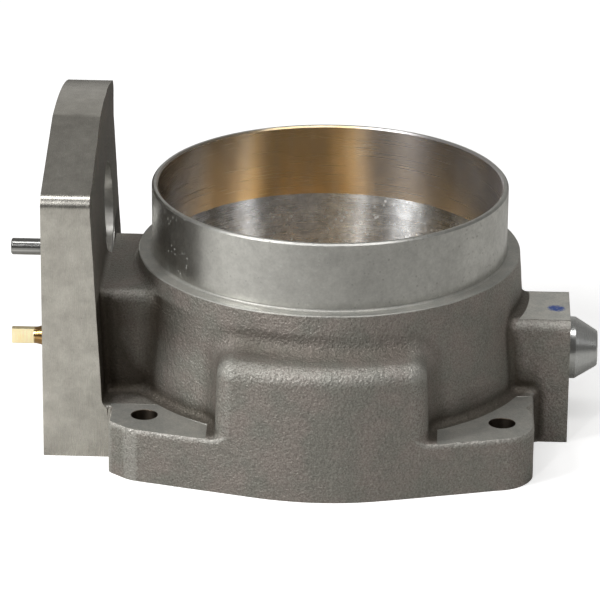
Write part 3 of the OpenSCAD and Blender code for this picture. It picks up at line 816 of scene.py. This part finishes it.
def tapped_hole(y, z, face_x, depth):
    """A drilled hole with its mouth eased, square to the gear plate."""
    ease, start_x, drill_point = 0.4, face_x + 3, 1
    profile = eased_mouth(TAP_R, ease, face_x, start_x)
    profile += [(TAP_R, -face_x + depth), (0, -face_x + depth + drill_point)]
    return lathe("tap", profile, BORED_X, "X", (y, z), segments=48)


def gear_plate_pocket(screws):
    """The pocket in the gear plate's outer face, which leaves a boss round each cover screw."""
    corner_r, post_r, post_end = 3.2, 5, -40
    post = [(0, -OUTER_X), (post_r, -OUTER_X), (post_r, post_end), (0, post_end)]
    pocket = prism("pocket", plate_outline(RIM_W, corner_r), "X", -PLATE_X - 3, -FLOOR_X, MILLED)
    for y, z in screws:
        cut(pocket, lathe("post", post, MILLED, "X", (y, z)))
    return pocket


def drill(casting_object):
    """Drills the flange and the gear plate, and mills the gear plate's pocket."""
    for x in (-HOLE_X, HOLE_X):
        for y in (-HOLE_Y, HOLE_Y):
            cut(casting_object, flange_hole(x, y))
    first_y, first_z, cover_depth, motor_depth = -PLATE_FRONT + 5.5, 6, 10, 7
    motor_ease, pin_ease = 0.4, 0.2
    screws = [(y, z) for y in (first_y, first_y + COVER_DY) for z in (first_z, first_z + COVER_DZ)]
    cut(casting_object, gear_plate_pocket(screws))
    for y, z in screws:
        cut(casting_object, tapped_hole(y, z, PLATE_X, cover_depth))
    for side in (-1, 1):
        z = MOTOR_Z + side * MOTOR_SCREW_DZ / 2
        cut(casting_object, tapped_hole(MOTOR_Y, z, FLOOR_X, motor_depth))
    motor = eased_mouth(MOTOR_R, motor_ease, FLOOR_X)
    motor += [(MOTOR_R, -MOTOR_FACE_X), (MOTOR_FACE_R, -MOTOR_FACE_X)]
    motor += [(MOTOR_FACE_R, -MOTOR_FACE_END), (0, -MOTOR_FACE_END)]
    pin = eased_mouth(PIN_R, pin_ease, FLOOR_X) + [(PIN_R, -PIN_END), (0, -PIN_END)]
    cut(casting_object, lathe("motor", motor, BORED_X, "X", (MOTOR_Y, MOTOR_Z), segments=160))
    cut(casting_object, lathe("pin", pin, BORED_X, "X", (PIN_Y, PIN_Z)))


def bore_shaft_line(casting_object):
    """Bores the shaft hole and the seats of the seals and bearings from both ends."""
    inside, ease, past = BORE_R - 5, 0.4, BOSS_X + 9.6
    gear = eased_mouth(GEAR_BEARING_R, ease, FLOOR_X) + [
        (GEAR_BEARING_R, -SNAP_GROOVE_END), (SNAP_GROOVE_R, -SNAP_GROOVE_END),
        (SNAP_GROOVE_R, -SNAP_GROOVE_X), (GEAR_BEARING_R, -SNAP_GROOVE_X),
        (GEAR_BEARING_R, -GEAR_BEARING_X), (GEAR_SEAL_R, -GEAR_BEARING_X),
        (GEAR_SEAL_R, -GEAR_SEAL_X), (SHAFT_HOLE_R, -GEAR_SEAL_X),
        (SHAFT_HOLE_R, -inside), (0, -inside),
    ]
    end = [
        (0, inside), (SHAFT_HOLE_R, inside), (SHAFT_HOLE_R, END_SEAL_X), (END_SEAL_R, END_SEAL_X),
        (END_SEAL_R, END_BEARING_X), (END_BEARING_R, END_BEARING_X), (END_BEARING_R, BOSS_X - ease),
        (END_BEARING_R + ease, BOSS_X), (END_BEARING_R + ease, past), (0, past),
    ]
    for name, profile in (("gear_line", gear), ("end_line", end)):
        cut(casting_object, lathe(name, profile, BORED_X, "X", (0, SHAFT_Z), segments=96))


def mill_tops(casting_object):
    """Mills the boss's top and the ears' tops flat, outside rings that clear the barrel's fillet."""
    boss_ring, ear_ring = BARREL_TOP_R + 2.6, BARREL_BASE_R + 2.1
    boss_front = -BOSS_HALF - 3
    outline = [*arc((0, 0), boss_ring, -25, 3, 12), (OUTER_X, BOSS_FLAT_Y), (OUTER_X, boss_front)]
    cut(casting_object, prism("boss_top", outline, "Z", BOSS_TOP, BOSS_TOP + 20, LIT_BOSS_FACED))
    near, far, outside = HUMP_BASE + 1.4, EAR_PLATE_X + HAIR, 70
    start = math.degrees(math.acos(near / ear_ring))
    for side_x, low in ((-1, ARM_FRONT + 8), (1, BOSS_HALF + 3.2)):
        stop = math.degrees(math.asin(low / ear_ring))
        ring = arc((0, 0), ear_ring, start, stop, 24)
        outline = [(near, outside), *ring, (far, low), (far, outside)]
        for side_y in (-1, 1):
            ear = [(side_x * a, side_y * b) for a, b in outline]
            cut(casting_object, prism("ear", ear, "Z", FLANGE_T, FLANGE_T + 6, FACED))


def finish_mesh(made):
    """Shades the casting smooth and keeps crisp every edge that a tool left."""
    cast_crease, tool_crease = math.radians(60), math.radians(20)
    mesh = bmesh.new()
    mesh.from_mesh(made.data)
    bmesh.ops.remove_doubles(mesh, verts=mesh.verts, dist=1e-6)
    cast_slots = {k for k, m in enumerate(made.data.materials) if m == CAST}
    for face in mesh.faces:
        face.smooth = True
    for edge in mesh.edges:
        if len(edge.link_faces) == 2:
            a, b = edge.link_faces
            both_cast = a.material_index in cast_slots and b.material_index in cast_slots
            edge.smooth = a.normal.angle(b.normal, 0) < (cast_crease if both_cast else tool_crease)
    mesh.to_mesh(made.data)
    mesh.free()
    mark_relief(made.data)
    flats = made.modifiers.new("flats", "WEIGHTED_NORMAL")
    flats.weight = 100
    flats.keep_sharp = True
    apply_modifiers(made)


def mark_relief(mesh):
    """Stores how convex the casting is at each point, and painted shade for its creases and shelter.

    What faces up or stands above the arm gets less painted shade, and the boss's end stands free.
    The foot of the arm and the upper left of the barrel get painted shade as well.
    """
    points = np.zeros(len(mesh.vertices) * 3)
    normals = np.zeros(len(mesh.vertices) * 3)
    mesh.vertices.foreach_get("co", points)
    mesh.vertices.foreach_get("normal", normals)
    points, normals = points.reshape(-1, 3) / MM, normals.reshape(-1, 3)
    x, _, z = points.T
    here = casting(*points.T, waves=False)

    def bend(reach):
        """How the distance field bends over a reach: above 0 on edges, below 0 in corners."""
        ways = (*np.eye(3), *-np.eye(3))
        around = sum(casting(*(points + way * reach).T, waves=False) for way in ways)
        return (around - len(ways) * here) / reach ** 2

    edge_reach, corner_reach, edge_gain = 0.9, 3.0, 2.2
    reaches = (3, 6, 11, 18, 28)
    # Painted shade: how closed in each point is, from the casting's distance out along its normal.
    sheltered_shade = sum((far - casting(*(points + normals * far).T, waves=False)) / far for far in reaches)
    sheltered_shade = sheltered_shade / len(reaches)
    # Less painted shade on faces that look up, at the boss's free end, and above the arm's top.
    facing_up = 1 - 0.9 * np.clip(normals[:, 2], 0, 1)
    free_end = np.clip((EAR_X + 6 - x) / 6, 0.3, 1)
    # Painted shade in the corner at the foot of the arm, by the gear plate.
    arm_foot_shade = np.exp(-((points - np.array(ARM_FOOT_SHADE_AT)) ** 2).sum(1) / ARM_FOOT_SHADE_SIZE ** 2)
    # Painted shade on the upper left of the barrel.
    left_shade = np.clip(z / 10 - 2.2, 0, 1) * np.clip(-x / 25 + 0.3, 0, 1)
    shade_by_height = np.clip(ARM_TOP - z, 0.15, 1)
    reliefs = {
        "convexity": edge_gain * bend(edge_reach),
        "crease_shade": -bend(corner_reach) * shade_by_height,
        "sheltered_shade": sheltered_shade * facing_up * free_end * shade_by_height + 0.5 * arm_foot_shade + 0.3 * left_shade,
    }
    for name, value in reliefs.items():
        layer = mesh.attributes.new(name, "FLOAT", "POINT")
        layer.data.foreach_set("value", np.clip(value, -1, 1).astype(np.float32))


def housing():
    """The machined casting, which replaces the CAD housing."""
    made = raw_casting()
    shape_plate(made)
    mill_tops(made)
    bore_and_turn(made)
    drill(made)
    bore_shaft_line(made)
    finish_mesh(made)
    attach(made, "casting")
    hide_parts("housing")


# ---- Finishes of the CAD nodes ----

def dress(material, *nodes):
    """Gives CAD nodes a material."""
    for name in nodes:
        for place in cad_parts[name].material_slots:
            place.material = material


def dress_all():
    """Gives every CAD node but the housing its finish."""
    steel = plain_metal("bearing_steel", (0.62, 0.62, 0.63), 0.22)
    ball_steel = plain_metal("ball_steel", (0.70, 0.70, 0.71), 0.08)
    dark_steel = plain_metal("dark_steel", (0.10, 0.10, 0.105), 0.45)
    sheet_steel = plain_metal("shield_steel", (0.48, 0.48, 0.49), 0.35)
    pin_steel = plain_metal("pin_steel", (0.42, 0.42, 0.41), 0.2)
    cage_brass = plain_metal("cage_brass", (0.60, 0.47, 0.24), 0.35)
    disc_metal = plain_metal("disc_metal", (0.80, 0.55, 0.22), 0.30, grain_mm=1.2)
    cap_metal = turned_finish("turned_cap", (0.74, 0.75, 0.74), 0.22, "X", roughness=0.27, spread=0.4)
    rubber = rubber_finish()
    for side in ("gear", "end"):
        dress(steel, f"{side}_bearing_outer_race", f"{side}_bearing_inner_race")
        dress(ball_steel, f"{side}_bearing_balls")
        dress(cage_brass, f"{side}_bearing_cage")
        dress(sheet_steel, f"{side}_bearing_shields", f"{side}_seal_case")
        dress(rubber, f"{side}_seal_lip")
    dress(sheet_steel, "preload_wave_washer")
    dress(dark_steel, "gear_bearing_snap_ring", "shaft_retaining_ring", "disc_screws")
    dress(brass_finish(), "throttle_shaft")
    dress(disc_metal, "throttle_disc")
    dress(cap_metal, "end_cap")
    dress(rubber, "end_cap_o_ring")
    dress(pin_steel, "idler_gear_pin")


# ---- Studio ----

def camera():
    """A long lens in front of the bore, a little above it."""
    place = Vector((26.626, -942.157, 398.887)) * MM
    yaw, pitch, roll, focal_length = -0.03596, 0.3735, 0.00966, 241.1
    forward = Vector((math.sin(yaw) * math.cos(pitch), math.cos(yaw) * math.cos(pitch), -math.sin(pitch)))
    right = forward.cross(Vector((0, 0, 1))).normalized()
    up = right.cross(forward)
    tilted_right = math.cos(roll) * right + math.sin(roll) * up
    tilted_up = math.cos(roll) * up - math.sin(roll) * right
    turn = Matrix((tilted_right, tilted_up, -forward)).transposed()
    lens = bpy.data.cameras.new("camera")
    lens.sensor_width = 36
    lens.lens = focal_length
    made = bpy.data.objects.new("camera", lens)
    made.matrix_world = Matrix.Translation(place) @ turn.to_4x4()
    bpy.context.scene.collection.objects.link(made)
    bpy.context.scene.camera = made


def softbox(name, place, target, width, height, radiance):
    """A rectangular light that faces a target and looks equally bright at any size."""
    light = bpy.data.lights.new(name, "AREA")
    light.shape = "RECTANGLE"
    light.size, light.size_y = width, height
    light.energy = radiance * math.pi * width * height
    made = bpy.data.objects.new(name, light)
    made.location = place
    made.rotation_euler = (Vector(target) - Vector(place)).to_track_quat("-Z", "Y").to_euler()
    bpy.context.scene.collection.objects.link(made)


def floor_paper():
    """White paper. In reflections it shades off to the front and right, as a set does by a camera, and
    behind; round the part lies a painted shadow, and in front of the gear plate a painted pool of light.
    """
    s = Shader("floor_paper")
    paper, seen_paper = (0.85, 0.84, 0.81), (0.9, 0.9, 0.9)
    seen = s.add("ShaderNodeLightPath").outputs["Is Camera Ray"]
    lit = s.add(
        "ShaderNodeMapRange",
        {"Value": s.across((-2.9, 5.4, 0)), "From Min": -1.2, "From Max": -0.2},
        interpolation_type="SMOOTHSTEP",
    ).outputs["Result"]
    shade = s.remap(lit, 0, 1, 0.58, 0.98)
    left = s.remap(s.across((-1, 0, 0)), -0.15, 0.08, 0.9, 1.0)
    # Painted shadow on the paper round the part.
    painted_part_shadow = s.remap(s.distance_from((0, 0, 0)), 0.06, 0.19, 0.6, 1.0)
    behind = s.remap(s.across((-0.5, 1, 0)), 0.10, 0.14, 1.0, 0.2)
    # Painted pool of light on the paper in front of the gear plate.
    painted_light_pool = s.remap(s.distance_from((-0.092, -0.052, 0)), 0.014, 0.026, 2.1, 1.0)
    for factor in (left, painted_part_shadow, behind, painted_light_pool):
        shade = s.maths("MULTIPLY", shade, factor)
    s.principled(
        base_color=s.blend(seen, s.scaled(paper, shade), seen_paper), roughness=0.9,
        emission_color=(1, 1, 1, 1), emission_strength=s.maths("MULTIPLY", seen, 0.5),
    )
    return s.material


def studio_sky():
    """White to the camera. In reflections: a pale backdrop behind, and a dim room in front."""
    world = bpy.data.worlds.new("studio")
    bpy.context.scene.world = world
    world.use_nodes = True
    nodes, links = world.node_tree.nodes, world.node_tree.links
    direction = nodes.new("ShaderNodeTexCoord").outputs["Generated"]
    split = nodes.new("ShaderNodeSeparateXYZ")
    links.new(direction, split.inputs[0])
    depth = nodes.new("ShaderNodeMapRange")
    depth.inputs["From Min"].default_value = -1
    links.new(split.outputs["Y"], depth.inputs["Value"])
    ramp = nodes.new("ShaderNodeValToRGB")
    links.new(depth.outputs["Result"], ramp.inputs[0])
    stops = [(0.0, 0.06), (0.25, 0.09), (0.5, 0.18), (0.8, 0.2), (0.9, 0.24), (0.97, 0.35), (1.0, 0.38)]
    elements = ramp.color_ramp.elements
    elements.remove(elements[1])
    for place, level in stops:
        element = elements.new(place) if place > 0 else elements[0]
        element.color = (level, 0.985 * level, 0.95 * level, 1)
    seen = nodes.new("ShaderNodeLightPath").outputs["Is Camera Ray"]
    mix = nodes.new("ShaderNodeMix")
    mix.data_type = "RGBA"
    mix.inputs[7].default_value = (1, 1, 1, 1)
    links.new(seen, mix.inputs[0])
    links.new(ramp.outputs[0], mix.inputs[6])
    links.new(mix.outputs[2], nodes["Background"].inputs["Color"])


def studio():
    """The floor, the sky, a wide light above and four softboxes round the camera."""
    half, distance, middle = 6000, 1.5, (0, 0, 0.04)
    corners = [(-half, -half, 0), (half, -half, 0), (half, half, 0), (-half, half, 0)]
    mesh_object("floor", corners, [(0, 1, 2, 3)], floor_paper())
    studio_sky()
    bpy.context.scene.view_settings.view_transform = "Standard"
    softbox("top_light", (0, -0.28, 1.32), middle, 1.4, 0.28, 4.8)
    for name, azimuth, elevation, width, height, level in (
        ("left_light", 236, 40, 0.26, 0.5, 18.0),
        ("low_left_light", 236, 28, 0.44, 0.14, 19.0),
        ("front_light", 201, 36, 0.08, 0.5, 21.0),
        ("right_light", 117, 34, 0.14, 0.5, 4.0),
    ):
        turn, rise = math.radians(azimuth), math.radians(elevation)
        x, y = math.sin(turn) * math.cos(rise), math.cos(turn) * math.cos(rise)
        place = Vector((x, y, math.sin(rise))) * distance
        softbox(name, place, middle, width, height, level)


camera()
studio()
housing()
dress_all()
